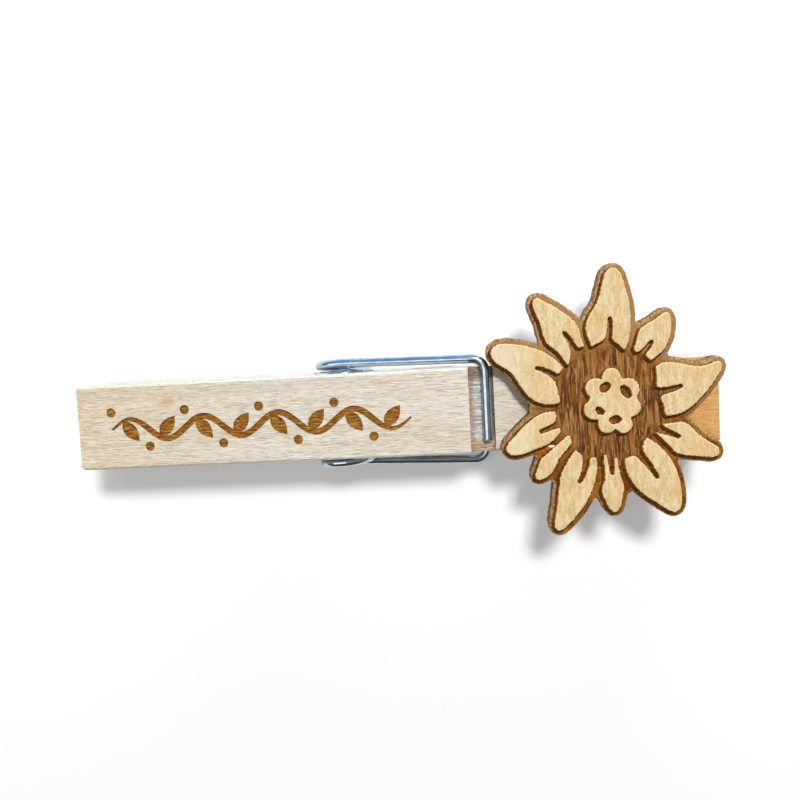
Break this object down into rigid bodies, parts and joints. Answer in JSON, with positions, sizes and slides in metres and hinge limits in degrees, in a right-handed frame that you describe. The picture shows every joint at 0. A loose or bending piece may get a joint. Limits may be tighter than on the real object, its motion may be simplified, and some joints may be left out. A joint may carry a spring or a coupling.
{
  "type": "wooden clothes peg with an edelweiss ornament",
  "caption": "Sprung wooden clothes peg that clamps cloth or paper, with a laser-cut plywood edelweiss glued on its front jaw.",
  "frame": {"origin": "on the rest face, the rear leg's outer face, under the centre of the spring's coil", "axes": "+X along the peg towards the jaws, +Z out of the front leg's outer face, +Y across the peg"},
  "size_m": [0.0904, 0.037, 0.0143],
  "materials": {
    "beech": "planed and unvarnished",
    "birch_ply": "sanded, laser engraved and laser cut",
    "spring_steel": "bright zinc plated"
  },
  "bodies": {
    "rear_half": {"rear_leg": "beech", "spring": "spring_steel"},
    "front_half": {"front_leg": "beech", "edelweiss": "birch_ply"}
  },
  "joints": [
    {"name": "squeeze", "type": "hinge", "parent": "rear_half", "child": "front_half", "pos_m": [0, 0, 0.0066], "axis": [0, -1, 0], "range_deg": [0, 9], "stiffness_Nm_per_rad": 1.1, "springref_deg": -11.46, "deforming": ["spring"]}
  ]
}
